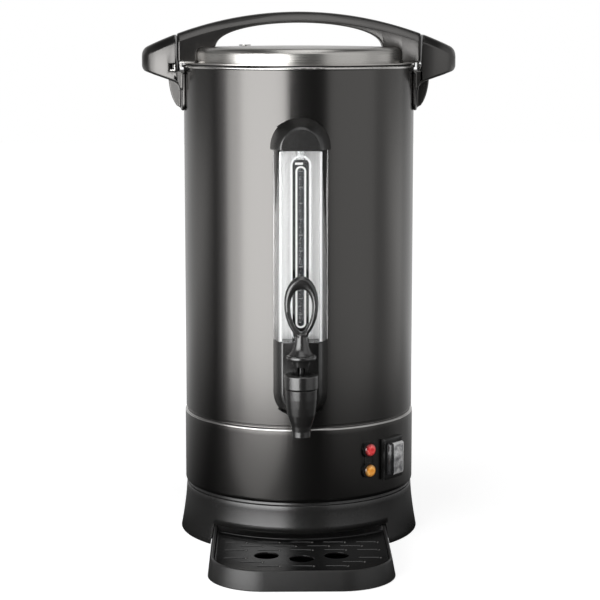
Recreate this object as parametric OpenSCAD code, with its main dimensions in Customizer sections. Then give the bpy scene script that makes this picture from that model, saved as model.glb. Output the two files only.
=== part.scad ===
// Coffee percolator urn of ten litres with a lever tap, sight gauge, drip tray and lock-on lid.
// The urn's own axis is Z, the floor is Z = 0 and the tap points along -Y.

/* [Body] */
// Outer radius of the painted shell
shell_r = 115; // [110:1:120]
// Thickness of the painted shell
shell_wall = 1; // [0.8:0.1:1.5]
// Height of the painted shell
shell_h = 344; // [320:1:370]
// Air gap between the tank and the shell
tank_gap = 7; // [5:0.5:8]
// Thickness of the tank's steel
tank_wall = 1; // [0.8:0.1:1.2]
// Height of the tank floor above the step in the body
floor_h = 5; // [4:0.5:8]
// Radius of the rolled bead round the rim
bead_r = 1.5; // [1.2:0.1:2]
// Radius of the heating well in the tank floor
well_r = 24; // [20:1:28]
// Depth of the heating well
well_depth = 12; // [8:1:14]

/* [Lower housing] */
// Height of the sleeve that holds the controls
sleeve_h = 74.3; // [70:0.1:80]
// How far the sleeve stands out past the shell
sleeve_step = 1; // [0.5:0.1:1.5]
// Thickness of the sleeve
sleeve_wall = 1.2; // [1:0.1:1.5]
// Radius of the sleeve's rounded top edge
sleeve_round = 2.5; // [2:0.1:3]

/* [Base] */
// Height of the plastic base ring
base_h = 46.8; // [42:0.1:52]
// How far the base ring flares out at the floor
base_flare = 6; // [4:0.5:8]
// Wall of the base ring
base_wall = 2.6; // [2:0.1:3]
// Height of the dark gap between the base ring and the sleeve
shadow_gap = 2.9; // [2:0.1:4]
// Depth of that gap
shadow_depth = 3.5; // [2:0.1:5]
// Height of the tray's notch in the base ring
notch_h = 20; // [19:0.5:24]
// Radius of a rubber foot
foot_r = 7; // [5:0.5:9]

/* [Drip tray] */
// Width of the tray at its rim
tray_w = 169; // [160:1:176]
// How far the tray's rim reaches past the shell
tray_out = 126; // [110:1:140]
// Height of the tray's rim
tray_h = 19.2; // [17:0.1:19.4]
// Radius of the tray's front corners
tray_round = 50; // [40:1:60]
// How far the tray's skirt leans out at the floor
tray_draft = 3.5; // [2:0.5:4]
// Wall of the tray
tray_wall = 2.4; // [2:0.1:3]
// Depth of the grate below the tray's rim
grate_drop = 3.4; // [2:0.1:5]
// Thickness of the grate
grate_t = 2; // [1.5:0.1:3]
// Radius of the three drain holes
drain_r = 11.5; // [8:0.5:13]

/* [Lid] */
// Width of the lid's flat flange outside its raised crown
crown_inset = 12; // [11:0.5:17]
// Height of the crown above the lid's flange
crown_h = 15; // [12:0.5:20]
// Radius of the crown's shoulder
crown_round = 6; // [4:0.5:8]
// Thickness of the lid's steel
lid_wall = 0.9; // [0.8:0.1:1.2]

/* [Handles] */
// Radius of the arch that the three handles share
arch_r = 350; // [320:5:380]
// Rise of the arch above the lid's flange
arch_rise = 50; // [46:0.5:56]
// Thickness of the lid handle at its middle
grip_t = 11; // [9:0.5:14]
// Half width of the lid handle at its middle
grip_half = 12.5; // [10:0.5:15]
// Half width of the handles where they meet
joint_half = 26; // [24:0.5:28]
// Half span of the opening under the lid handle
opening_half = 83.5; // [78:0.5:86]
// How far the side handles stand out from the shell
handle_reach = 41.5; // [36:0.5:46]
// Height of the side handles' mounting plate
plate_h = 42; // [36:1:50]
// Thickness of the mounting plate
plate_t = 3.2; // [2.5:0.1:4]
// How far the lid handle's ends reach past the shell
end_reach = 6.6; // [5:0.1:8]
// Width of the seam between lid handle and side handles
seam_gap = 2.4; // [1:0.1:3]

/* [Gauge] */
// How far the gauge stands out from the shell
gauge_depth = 20; // [17:0.5:24]
// Half width of the gauge at the shell
gauge_half = 26.3; // [24:0.1:28]
// Half width of the gauge's front face
gauge_face_half = 19.8; // [17:0.1:21]
// Height of the clear cover
cover_h = 181.6; // [160:0.1:190]
// Wall of the clear cover
cover_wall = 2; // [1.5:0.1:2.5]
// Half width of the raised channel on the cover
channel_half = 12; // [10:0.5:14]
// Outer radius of the sight tube
tube_r = 4.5; // [4:0.1:5]
// Bore radius of the sight tube
tube_bore_r = 3.2; // [2.5:0.1:3.6]
// Width of the printed level scale
scale_w = 15.5; // [13:0.5:18]

/* [Tap] */
// Distance from the gauge's front to the tap's axis
tap_offset = 31; // [29:0.5:36]
// Height of the tap's outlet above the floor
spout_z = 127; // [122:0.5:132]
// Height of the tap's shank above its outlet
shank_rise = 43; // [42:0.5:44]
// Outer radius of the threaded shank
shank_r = 8.5; // [8:0.1:9.5]
// Bore radius of the shank
shank_bore_r = 4.5; // [3.5:0.1:5]
// Radius of the tap's bonnet
bonnet_r = 16; // [15:0.5:18]
// Height of the bonnet
bonnet_h = 13.2; // [12:0.1:15]
// Radius of the tap's stem
stem_r = 3; // [2.5:0.1:3.2]
// Height of the lever above its pin
lever_h = 86; // [76:1:94]
// Half width of the lever's loop
loop_half = 16; // [14:0.5:18]
// Turns of the tap's spring
spring_turns = 6; // [4:1:8]

/* [Controls] */
// Angle of the lamps from the front
lamp_azimuth = 35.5; // [30:0.5:38]
// Height of the upper lamp
lamp_high_z = 98.5; // [95:0.5:103]
// Height of the lower lamp
lamp_low_z = 77.7; // [70:0.1:80]
// Radius of a lamp's lens
lens_r = 6.3; // [5:0.1:7]
// Angle of the switch from the front
switch_azimuth = 51; // [49:0.5:56]
// Height of the switch's centre
switch_z = 86; // [82:0.5:90]
// Width of the switch's frame
switch_w = 30; // [27:0.5:33]
// Height of the switch's frame
switch_h = 41; // [38:0.5:45]
// Height of the cord gland's axis
gland_z = 72; // [66:1:90]
// Bore radius of the cord gland
gland_bore_r = 4; // [3:0.5:5]

/* [Percolator] */
// Radius of the filter basket
basket_r = 62; // [55:1:70]
// Thickness of the basket's sheet
basket_wall = 0.8; // [0.6:0.1:1.2]
// Height of the filter basket
basket_h = 84; // [70:1:95]
// Height of the basket's floor above the tank floor
basket_lift = 212; // [200:1:220]
// Outer radius of the pump tube
pump_r = 4.8; // [4:0.1:6]
// How far the pump tube stands out of the basket
pump_over = 26; // [16:1:30]
// Radius of the pump's foot
pump_foot_r = 22; // [18:0.5:22]

/* [Fits] */
// Gap between fixed pieces that seat in each other
fit = 0.1; // [0.05:0.01:0.2]
// Gap between pieces that move past each other
clear = 0.3; // [0.25:0.05:0.5]
// Gap round a pin that turns or a stem that slides
running = 0.06; // [0.02:0.01:0.09]

/* [Hidden] */
$fn = 72;

// Heights of the stacked body
sleeve_z = base_h + shadow_gap;
step_z = sleeve_z + sleeve_h;
shell_top = step_z + shell_h;
bead_z = shell_top + bead_r + fit;
rim_z = bead_z + bead_r;
tank_floor_z = step_z + floor_h;
tank_r = shell_r - shell_wall - tank_gap;
sleeve_r = shell_r + sleeve_step;
groove = 2;

// Lid stack
gasket_t = 0.6;
gasket_z = rim_z + clear;
flange_z = gasket_z + gasket_t + clear;
flange_top = flange_z + lid_wall;
flange_r = shell_r + 0.4;
crown_r = shell_r - crown_inset;
crown_z = flange_top + crown_h;
dome = 1.2;
mouth_r = tank_r - tank_wall;

// Base
base_r = shell_r;
boss_r = 5;
boss_pitch_r = base_r - boss_r - 2.5;
foot_pitch_r = base_r - foot_r - 10;
web_t = 2.5;
foot_pin_r = 2;
plate_z = 4;
bottom_t = 1.2;
spigot_r = sleeve_r - shadow_depth;
spigot_t = 3;
screw_r = 2;
notch_clear = 0.8;

// Tray
tray_reach = shell_r + tray_out;
tray_rear = shell_r - 35;
rib_r = shell_r + base_flare * 0.75 + 1.8;
tray_lift = 0.5;
tray_floor = 3;
grate_z = tray_h - grate_drop - grate_t;
ledge = 2;

// Handles
arch_z = flange_top + arch_rise - arch_r;
seam_r = shell_r + end_reach;
handle_end = shell_r + handle_reach;
ledge_z = shell_top - 2.6;
top_round = 8;
edge_round = 3;
plate_low = shell_top - plate_h;

// Gauge
gauge_front = shell_r + gauge_depth;
cover_z = spout_z + 85;
cap_z = cover_z + cover_h;
cap_half = gauge_half + 2.4;
cap_screw_x = 12;
cap_screw_z = cap_z + 9;
tube_y = -(gauge_front - 8.5);
tube_seal_r = tube_r + 2.5;
seat_depth = 11;
shank_z = spout_z + shank_rise;

// Tap
tap_y = -(gauge_front + tap_offset);
cup_top = spout_z + 46.8;
bonnet_top = cup_top + bonnet_h;
dish_depth = 3.5;
dish_r = 9.2;
dish_floor_t = 2.5;
cup_r = bonnet_r - 0.8;
cavity_r = cup_r - 3.7;
cavity_z = spout_z + 23;
seat_hole_r = 5;
collar_r = 15.5;
pin_z = bonnet_top + 7;
pin_r = 1.5;
cone_z = bonnet_top - dish_depth + clear;
spring_low = cavity_z + 7;
spring_high = bonnet_top - dish_depth - dish_floor_t - clear;

// Controls
rocker_y = -(sleeve_r - 3);
rocker_half = 9;
rocker_len = 12.5;

// Percolator
stem_z = tank_floor_z - well_depth + clear;
basket_z = tank_floor_z + basket_lift;
pump_top = basket_z + basket_h + pump_over;

// Height of the shared handle arch at a distance from the axis
function arch(x) = arch_z + sqrt(arch_r * arch_r - x * x);

// Radius of the flared base ring at a height
function base_radius(z) = base_r + base_flare * pow(max(0, 1 - z / base_h), 1.5);

// Points along an arc, from angle a0 to a1
function arc(cx, cy, r, a0, a1, n = 8) =
    [for (i = [0 : n]) [cx + r * cos(a0 + (a1 - a0) * i / n), cy + r * sin(a0 + (a1 - a0) * i / n)]];

// Joins a row of closed rings, each with the same number of points, into one solid
module loft(rings) {
    n = len(rings[0]);
    last = (len(rings) - 1) * n;
    points = [for (ring = rings) each ring];
    sides = [for (j = [0 : len(rings) - 2], k = [0 : n - 1], half = [0, 1])
        let (a = j * n + k, b = j * n + (k + 1) % n)
        half == 0 ? [b, a, b + n] : [b + n, a, a + n]];
    start = [[for (k = [0 : n - 1]) k]];
    end = [[for (k = [n - 1 : -1 : 0]) last + k]];
    polyhedron(points = points, faces = concat(sides, start, end));
}

// Turns its children round the urn so that their -Y points to an angle from the front
module facing(azimuth) {
    rotate([0, 0, azimuth]) children();
}

// A cylinder along -Y that starts at a distance from the urn's axis
module radial(r, from, to, z = 0, x = 0) {
    translate([x, -from, z]) rotate([90, 0, 0]) cylinder(h = to - from, r = r);
}

// A ring of upright cylinders at given angles from the front
module ring_of(azimuths, pitch_r) {
    for (a = azimuths) facing(a) translate([0, -pitch_r, 0]) children();
}

base_bosses = [60, -60, 132, -132];
foot_angles = [76, -76, 156, -156];

// Outline of the tray, grown or shrunk by an offset
module tray_outline(grow, rear) {
    half = tray_w / 2 + grow;
    front = tray_reach + grow;
    round_r = tray_round + grow;
    translate([-half, -(front - round_r)]) square([2 * half, front - round_r - rear]);
    translate([-(half - round_r), -front]) square([2 * (half - round_r), round_r + 1]);
    for (side = [-1, 1]) translate([side * (half - round_r), -(front - round_r)]) circle(r = round_r);
}

module base_ring() {
    steps = 9;
    outer = [for (i = [0 : steps]) let (z = base_h * i / steps) [base_radius(z), z]];
    inner = [for (i = [steps : -1 : 0]) let (z = (base_h - base_wall) * i / steps)
        [base_radius(z) - base_wall, z]];
    color("#2b2b2b") difference() {
        union() {
            rotate_extrude() polygon(concat(outer, [
                [spigot_r, base_h], [spigot_r, sleeve_z], [spigot_r - spigot_t, sleeve_z],
                [spigot_r - spigot_t, base_h - base_wall]], inner));
            difference() {
                ring_of(base_bosses, boss_pitch_r) {
                    translate([0, 0, plate_z + bottom_t]) cylinder(h = base_h - plate_z - bottom_t, r = boss_r);
                    translate([-web_t / 2, -13, plate_z + bottom_t])
                        cube([web_t, 10, base_h - plate_z - bottom_t - 1]);
                }
                rotate_extrude() polygon(concat(
                    [for (i = [0 : steps]) let (z = base_h * i / steps) [base_radius(z) - 0.5, z]],
                    [[base_r + 30, base_h], [base_r + 30, 0]]));
            }
        }
        ring_of(base_bosses, boss_pitch_r) translate([0, 0, -1]) cylinder(h = sleeve_z + 2, r = screw_r + 0.2);
        // Notch that the tray slides into
        translate([0, 20 - tray_rear, 0]) rotate([90, 0, 0]) linear_extrude(80)
            polygon([
                [-tray_w / 2 - tray_draft - notch_clear - 0.2, -1],
                [-tray_w / 2 - notch_clear, notch_h],
                [tray_w / 2 + notch_clear, notch_h],
                [tray_w / 2 + tray_draft + notch_clear + 0.2, -1]]);
    }
}

module base_plate() {
    plate_r = base_radius(plate_z) - base_wall - 1;
    slots = [for (i = [-3 : 3]) i * 14];
    color("silver") difference() {
        translate([0, 0, plate_z]) cylinder(h = bottom_t, r = plate_r);
        translate([-plate_r, -plate_r - 1, 0]) cube([2 * plate_r, plate_r + 1 - tray_rear + 4, 30]);
        ring_of(base_bosses, boss_pitch_r) cylinder(h = 30, r = screw_r + 0.2);
        // Vents
        for (x = slots) translate([x - 2, 20, 0]) cube([4, 46, 30]);
        ring_of(foot_angles, foot_pitch_r) cylinder(h = 30, r = foot_pin_r + fit);
    }
}

module rubber_feet() {
    color("#1c1c1c") ring_of(foot_angles, foot_pitch_r) {
        cylinder(h = plate_z, r = foot_r);
        translate([0, 0, plate_z]) cylinder(h = bottom_t + 0.4, r = foot_pin_r);
        translate([0, 0, plate_z + bottom_t]) cylinder(h = 2, r1 = foot_pin_r + 0.9, r2 = foot_pin_r);
    }
}

module base_screws() {
    color("#9a9a9a") ring_of(base_bosses, boss_pitch_r) {
        difference() {
            translate([0, 0, plate_z - 2]) cylinder(h = 2, r = 4);
            translate([-2.5, -0.5, 0]) cube([5, 1, plate_z - 1]);
            translate([-0.5, -2.5, 0]) cube([1, 5, plate_z - 1]);
        }
        translate([0, 0, plate_z]) cylinder(h = sleeve_z + 5 - plate_z, r = screw_r);
    }
}

// Rectangular hole for the switch, in the switch's own frame
module switch_cutout(grow = 0) {
    translate([-11 - grow, -sleeve_r - 5, switch_z - 18 - grow])
        cube([22 + 2 * grow, 12, 36 + 2 * grow]);
}

module control_housing() {
    top_r = sleeve_r - sleeve_round;
    color("#262626") difference() {
        rotate_extrude() polygon(concat(
            [[tank_r - tank_wall, step_z - sleeve_wall], [tank_r - tank_wall, step_z]],
            arc(top_r, step_z - sleeve_round, sleeve_round, 90, 0),
            [[sleeve_r, sleeve_z], [spigot_r - 12, sleeve_z], [spigot_r - 12, sleeve_z + sleeve_wall],
             [sleeve_r - sleeve_wall, sleeve_z + sleeve_wall]],
            arc(top_r, step_z - sleeve_round, sleeve_round - sleeve_wall, 0, 90)));
        ring_of(base_bosses, boss_pitch_r)
            translate([0, 0, sleeve_z - 1]) cylinder(h = 4, r = screw_r + 0.05);
        facing(switch_azimuth) switch_cutout();
        for (z = [lamp_low_z, lamp_high_z]) facing(lamp_azimuth) radial(lens_r - 0.6, sleeve_r - 16, sleeve_r + 14, z);
        facing(180) radial(7.2, sleeve_r - 16, sleeve_r + 14, gland_z);
    }
}

module outer_shell() {
    inner_r = shell_r - shell_wall;
    neck_r = sleeve_r - sleeve_round - 0.4;
    color("#303030") difference() {
        rotate_extrude() polygon([
            [neck_r - shell_wall, step_z], [neck_r, step_z], [neck_r, step_z + groove],
            [shell_r, step_z + groove + 1], [shell_r, shell_top],
            [inner_r, shell_top], [inner_r, step_z + groove + 1.4], [neck_r - shell_wall, step_z + groove + 0.4]]);
        radial(shank_r + clear, shell_r - 15, shell_r + 15, shank_z);
        for (x = [-cap_screw_x, cap_screw_x]) radial(screw_r + 0.2, shell_r - 15, shell_r + 15, cap_screw_z, x);
        for (a = [90, -90], z = handle_screw_z) facing(a) radial(screw_r + 0.2, shell_r - 15, shell_r + 15, z);
    }
}

module tank() {
    color("#c9c9c9") difference() {
        rotate_extrude() union() {
            polygon([
                [0, tank_floor_z - well_depth - tank_wall], [well_r, tank_floor_z - well_depth - tank_wall],
                [well_r, tank_floor_z - tank_wall], [mouth_r, tank_floor_z - tank_wall],
                [mouth_r, step_z], [tank_r, step_z], [tank_r, rim_z - tank_wall],
                [shell_r - 0.3, rim_z - tank_wall], [shell_r - 0.3, rim_z], [mouth_r, rim_z],
                [mouth_r, tank_floor_z], [well_r - tank_wall, tank_floor_z],
                [well_r - tank_wall, tank_floor_z - well_depth], [0, tank_floor_z - well_depth]]);
            translate([shell_r - 0.3, bead_z]) circle(r = bead_r);
        }
        radial(shank_r + clear, tank_r - 17, tank_r + 5, shank_z);
    }
}

heater_plate_t = 2;
heater_ring_r = mouth_r - 46;
heater_plate_r = heater_ring_r + 12;
heater_tube_r = 3.5;
heater_low = tank_floor_z - tank_wall - heater_plate_t;

module heater_plate() {
    color("#b8b8b8") translate([0, 0, heater_low]) difference() {
        cylinder(h = heater_plate_t, r = heater_plate_r);
        translate([0, 0, -1]) cylinder(h = heater_plate_t + 2, r = heater_ring_r - 15);
    }
}

module main_heater() {
    ring_z = heater_low - heater_tube_r;
    color("#8c8c8c") {
        rotate([0, 0, 100]) rotate_extrude(angle = 340) translate([heater_ring_r, ring_z]) circle(r = heater_tube_r);
        for (a = [100, 80]) rotate([0, 0, a]) translate([heater_ring_r, 0, ring_z]) {
            sphere(r = heater_tube_r);
            translate([0, 0, -16]) cylinder(h = 16, r = heater_tube_r);
            translate([0, 0, -24]) cylinder(h = 9, r = 1.4);
        }
    }
}

module well_heater() {
    low = tank_floor_z - well_depth + 1;
    band_t = 5;
    color("#d0b070") difference() {
        translate([0, 0, low]) cylinder(h = well_depth - 3.5, r = well_r + band_t);
        translate([0, 0, low - 1]) cylinder(h = well_depth, r = well_r + fit);
    }
}

// Disc thermostat that is clamped under the tank floor
module floor_switch(azimuth, body_r, body_h) {
    facing(azimuth) translate([0, 18 - mouth_r, tank_floor_z - tank_wall]) {
        translate([0, 0, -2]) cylinder(h = 2, r = body_r);
        translate([0, 0, -body_h]) cylinder(h = body_h - 1, r = body_r - 2);
        for (x = [-4, 4]) translate([x - 1.5, -0.4, -body_h - 7]) cube([3, 0.8, 8]);
    }
}

module thermostat() {
    color("#efe6d0") floor_switch(150, 12, 12);
}

module thermal_cutout() {
    color("#d8d8d8") floor_switch(-150, 10, 10);
}

module terminal_block() {
    low = plate_z + bottom_t;
    color("white") translate([-24, -14, low]) difference() {
        cube([48, 20, 17]);
        for (i = [0 : 2]) translate([8 + 16 * i, 10, -1]) {
            translate([0, 0, 13]) cylinder(h = 7, r = 3);
            translate([-4, -11, 5]) cube([8, 5, 8]);
            translate([-4, 6, 5]) cube([8, 5, 8]);
        }
    }
}

module cord_gland() {
    color("#1a1a1a") facing(180) difference() {
        union() {
            radial(7, sleeve_r - 12, sleeve_r + 1, gland_z);
            radial(11, sleeve_r + 0.1, sleeve_r + 4, gland_z);
            radial(8.5, sleeve_r + 3, sleeve_r + 12, gland_z);
            radial(10, sleeve_r - 12, sleeve_r - 5, gland_z);
        }
        radial(gland_bore_r, sleeve_r - 20, sleeve_r + 20, gland_z);
    }
}

module switch_frame() {
    face = sleeve_r + 3.5;
    color("#191919") facing(switch_azimuth) difference() {
        union() {
            difference() {
                translate([-switch_w / 2, -face, switch_z - switch_h / 2])
                    cube([switch_w, 20, switch_h]);
                cylinder(h = 400, r = sleeve_r + fit);
            }
            translate([-11 + fit, -sleeve_r - 1, switch_z - 18 + fit]) cube([22 - 2 * fit, 25, 36 - 2 * fit]);
        }
        // Well that the rocker swings in
        translate([-rocker_half - 0.5, -face - 1, switch_z - 15]) cube([2 * rocker_half + 1, 19, 30]);
        translate([-10.3, rocker_y, switch_z]) rotate([0, 90, 0]) cylinder(h = 20.6, r = pin_r + running);
        for (z = [-10, 0, 10]) translate([-3.1, -sleeve_r, switch_z + z - 0.5]) cube([6.2, 40, 1]);
    }
}

module switch_terminals() {
    color("#c8a850") facing(switch_azimuth) for (z = [-10, 0, 10])
        translate([-3, -sleeve_r + 15.6, switch_z + z - 0.4]) cube([6, 17, 0.8]);
}

// Side view of the rocker before it is tipped
module rocker_outline() {
    polygon([[-rocker_len, 9.5], [0, 7.8], [rocker_len, 9.5], [rocker_len - 2.5, 0], [4, -4], [-4, -4],
        [-rocker_len + 2.5, 0]]);
}

module switch_rocker() {
    color("#2a2a2a") facing(switch_azimuth) translate([0, rocker_y, switch_z]) {
        rotate([-7, 0, 0]) translate([-rocker_half, 0, 0]) rotate([90, 0, 90]) rotate([0, 0, 90])
            linear_extrude(2 * rocker_half) rocker_outline();
        translate([-10.2, 0, 0]) rotate([0, 90, 0]) cylinder(h = 20.4, r = pin_r);
    }
}

module switch_boot() {
    back = sleeve_r + 3.5 + fit;
    boot = 1.2;
    depth = 6.5;
    color([0.85, 0.88, 0.9, 0.5]) facing(switch_azimuth) difference() {
        translate([-11.2, -back - depth, switch_z - 16.2]) cube([22.4, depth, 32.4]);
        translate([-11.2 + boot, -back - depth + boot, switch_z - 16.2 + boot])
            cube([22.4 - 2 * boot, depth, 32.4 - 2 * boot]);
    }
}

// One lamp in its own place: a lens that is let into a bezel
module lamp_lens(z) {
    facing(lamp_azimuth) translate([0, -sleeve_r, z]) rotate([90, 0, 0]) {
        translate([0, 0, -16]) cylinder(h = 18, r = lens_r - 1.8);
        translate([0, 0, 1.3]) cylinder(h = 1.2, r = lens_r - 0.6);
        translate([0, 0, 2.5]) cylinder(h = 1.3, r1 = lens_r, r2 = lens_r - 0.6);
        translate([0, 0, 3.8]) cylinder(h = 1.6, r1 = lens_r - 0.6, r2 = lens_r - 3);
    }
}

module boil_lamp() {
    color("red") lamp_lens(lamp_high_z);
}

module warm_lamp() {
    color("orange") lamp_lens(lamp_low_z);
}

module lamp_bezels() {
    color("#141414") for (z = [lamp_low_z, lamp_high_z]) facing(lamp_azimuth) difference() {
        union() {
            difference() {
                radial(lens_r + 1.3, sleeve_r - 6, sleeve_r + 2.2, z);
                cylinder(h = 400, r = sleeve_r + fit);
            }
            radial(lens_r - 0.7, sleeve_r - 14, sleeve_r + 1, z);
        }
        radial(lens_r - 0.5, sleeve_r + 1.2, sleeve_r + 5, z);
        radial(lens_r - 1.7, sleeve_r - 20, sleeve_r + 3, z);
    }
}

// --- Side handles ---

handle_screw_z = [shell_top - 32, shell_top - 12];
under_slope = 19;

// Radii of the handle block's outer corners, seen from the side, and of the hollow under it
top_corner = 10;
low_corner = 7;
hollow_r = 9;
hollow_x = shell_r + plate_t + hollow_r;
low_corner_x = handle_end - low_corner;
low_corner_z = shell_top + 3;
hollow_z = low_corner_z - (low_corner + hollow_r) / cos(under_slope) - (low_corner_x - hollow_x) * tan(under_slope);
top_corner_x = handle_end - top_corner;
top_corner_z = arch_z + sqrt(pow(arch_r - top_corner, 2) - top_corner_x * top_corner_x);

// Height of the block's top at a distance from the axis
function block_top(x) =
    let (touch = arch_r * cos(atan2(top_corner_z - arch_z, top_corner_x)))
    x < touch ? arch(x) : top_corner_z + sqrt(max(0, top_corner * top_corner - pow(x - top_corner_x, 2)));

// Height of its underside, which falls away to the mounting plate
function block_low(x) =
    x < hollow_x - hollow_r * sin(under_slope)
    ? hollow_z + sqrt(max(0, hollow_r * hollow_r - pow(x - hollow_x, 2)))
    : x < low_corner_x + low_corner * sin(under_slope)
    ? low_corner_z - low_corner / cos(under_slope) - (low_corner_x - x) * tan(under_slope)
    : low_corner_z - sqrt(max(0, low_corner * low_corner - pow(x - low_corner_x, 2)));

// Half width of the handle block at a distance from the axis
function handle_half(x) =
    let (u = max(0, (x - shell_r) / (handle_end + 0.01 - shell_r)))
    joint_half * pow(1 - pow(u, 3), 0.36);

// Bevelled shoulder of a handle's cross-section, from its face up to its top
function shoulder(w, t, r) =
    [[w, t - r], [w - 0.32 * r, t - 0.64 * r], [w - 0.66 * r, t - 0.3 * r], [w - 0.98 * r, t - 0.09 * r], [w - 1.35 * r, t]];

function mirrored(points) = [for (i = [len(points) - 1 : -1 : 0]) [-points[i][0], points[i][1]]];

// Cross-section of the block, bevelled above and rounded below
function handle_ring(x) =
    let (
        w = handle_half(x), t = block_top(x), low = block_low(x),
        r = min(top_round, w * 0.6, (t - low) * 0.45),
        edge = min(edge_round, w * 0.3, (t - low) * 0.3),
        side = concat(arc(w - edge, low + edge, edge, -90, 0, 3), shoulder(w, t, r)))
    [for (p = concat(side, mirrored(side))) [x, p[0], p[1]]];

// Distances from the axis at which the block's cross-section is taken
block_stations = concat(
    [shell_r - 6], [for (b = [0 : 18 : 72]) hollow_x - hollow_r * cos(b)],
    [for (i = [1 : 4]) hollow_x + (low_corner_x - 4 - hollow_x) * i / 4],
    [for (b = [15 : 12 : 87]) low_corner_x - 4 + (low_corner + 4 - 0.01) * sin(b)]);

// Outer edge of the gusset under the block
function gusset_edge() =
    let (low = plate_low + 1, high = shell_top - 6)
    [for (i = [0 : 10]) let (u = i / 10) [shell_r + 0.5 + 14.5 * sqrt(1 - u * u), high - (high - low) * u]];

// The right-hand handle; the left one is the same moulding turned round
module side_handle() {
    difference() {
        union() {
            loft([for (x = block_stations) handle_ring(x)]);
            // Mounting plate that hugs the shell
            intersection() {
                difference() {
                    translate([0, 0, plate_low - 5]) cylinder(h = plate_h, r = shell_r + plate_t);
                    translate([0, 0, plate_low - 6]) cylinder(h = plate_h + 2, r = shell_r + fit);
                }
                rotate([90, 0, 90]) linear_extrude(shell_r + 10) {
                    translate([-joint_half, plate_low + 8]) square([2 * joint_half, plate_h]);
                    translate([8 - joint_half, plate_low]) square([2 * joint_half - 16, plate_h]);
                    for (y = [-1, 1]) translate([y * (joint_half - 8), plate_low + 8]) circle(r = 8);
                }
            }
            // Gusset
            translate([0, 9, 0]) rotate([90, 0, 0]) linear_extrude(18)
                polygon(concat([[shell_r - 2, shell_top - 6]], gusset_edge(), [[shell_r - 2, plate_low + 1]]));
        }
        translate([0, 0, plate_low - 10]) cylinder(h = 400, r = shell_r + fit);
        translate([0, 0, ledge_z]) cylinder(h = 400, r = seam_r + seam_gap);
        // Pockets under the block, one each side of the gusset
        for (y = [-1, 1]) intersection() {
            translate([seam_r + seam_gap + 2.6, y > 0 ? 11.5 : -19.5, plate_low]) cube([16, 8, 300]);
            translate([0, 60, 0]) rotate([90, 0, 0]) linear_extrude(120) polygon(concat(
                arc(0, arch_z, arch_r - 5, 73, 66, 4), [[handle_end - 6, shell_top - 8], [shell_r, shell_top - 40]]));
        }
        // Notch for the lock tab, open to one side
        translate([seam_r, 14, ledge_z]) cube([6.4, 30, 6.8]);
        for (z = handle_screw_z) rotate([0, 0, 180]) facing(-90)
            radial(screw_r + 0.05, shell_r - 5, shell_r + 9, z);
    }
}

module side_handle_right() {
    color("#333333") side_handle();
}

module side_handle_left() {
    color("#333333") rotate([0, 0, 180]) side_handle();
}

module handle_screws() {
    color("#b0b0b0") for (a = [90, -90], z = handle_screw_z) facing(a) {
        radial(3.6, shell_r - shell_wall - 2.6, shell_r - shell_wall - 0.4, z);
        radial(screw_r, shell_r - shell_wall - 1, shell_r + 8.5, z);
    }
}

// Spring tabs in the side handles' notches
module lock_tabs() {
    color("#dcdcdc") for (a = [0, 180]) rotate([0, 0, a]) {
        translate([seam_r + 0.4, 16, ledge_z + 0.1]) cube([5.6, 8, 1]);
        translate([seam_r + 0.4, 16, ledge_z + 0.1]) cube([1.4, 8, 5.6]);
    }
}

// --- Gauge ---

// Plan of the clear cover, drawn inwards by an inset
function cover_plan(inset) = [
    [-gauge_half + inset, -(shell_r - 15)], [-gauge_half + inset, -(shell_r - 2)],
    [-gauge_face_half + inset * 0.8, -(gauge_front - inset)],
    [gauge_face_half - inset * 0.8, -(gauge_front - inset)],
    [gauge_half - inset, -(shell_r - 2)], [gauge_half - inset, -(shell_r - 15)]];

channel_t = 2;

module gauge_cover() {
    color([0.9, 0.95, 1, 0.4]) translate([0, 0, cover_z + fit]) difference() {
        union() {
            linear_extrude(cover_h - 2 * fit) polygon(cover_plan(0));
            translate([-channel_half, -gauge_front - channel_t, 0])
                cube([2 * channel_half, channel_t + 1, cover_h - 2 * fit - channel_half]);
            translate([0, -gauge_front + 1, cover_h - 2 * fit - channel_half])
                rotate([90, 0, 0]) cylinder(h = channel_t + 1, r = channel_half);
        }
        translate([0, 0, -1]) linear_extrude(cover_h + 2) polygon(cover_plan(cover_wall));
        translate([-channel_half + cover_wall, -gauge_front, -1])
            cube([2 * channel_half - 2 * cover_wall, cover_wall + 1, cover_h - 2 * fit - channel_half + 1]);
        translate([0, -gauge_front + cover_wall + 1, cover_h - 2 * fit - channel_half])
            rotate([90, 0, 0]) cylinder(h = cover_wall + 1, r = channel_half - cover_wall);
        translate([0, 0, -1]) cylinder(h = cover_h + 2, r = shell_r + fit);
    }
}

module gauge_back() {
    half = gauge_half - cover_wall - 0.6;
    color("#e8e8e8") intersection() {
        translate([0, 0, cover_z + fit]) difference() {
            cylinder(h = cover_h - 2 * fit, r = shell_r + fit + 0.8);
            translate([0, 0, -1]) cylinder(h = cover_h + 2, r = shell_r + fit);
        }
        translate([-half, -shell_r - 10, cover_z]) cube([2 * half, 40, cover_h]);
    }
}

module level_scale() {
    half = scale_w / 2;
    slot = 3.2;
    low = cover_z + 1;
    high = cap_z - 14;
    back = gauge_front - 0.9;
    color("#101010") difference() {
        union() {
            translate([-half, -gauge_front + fit, low]) cube([scale_w, 0.8, high - low]);
            translate([0, -back + fit, high]) rotate([90, 0, 0]) cylinder(h = 0.8, r = half);
        }
        translate([-slot, -gauge_front - 1, low + 14]) cube([2 * slot, 4, high - low - 14]);
        for (z = [low + 14, high]) translate([0, -back + 3, z]) rotate([90, 0, 0]) cylinder(h = 6, r = slot);
    }
}

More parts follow.
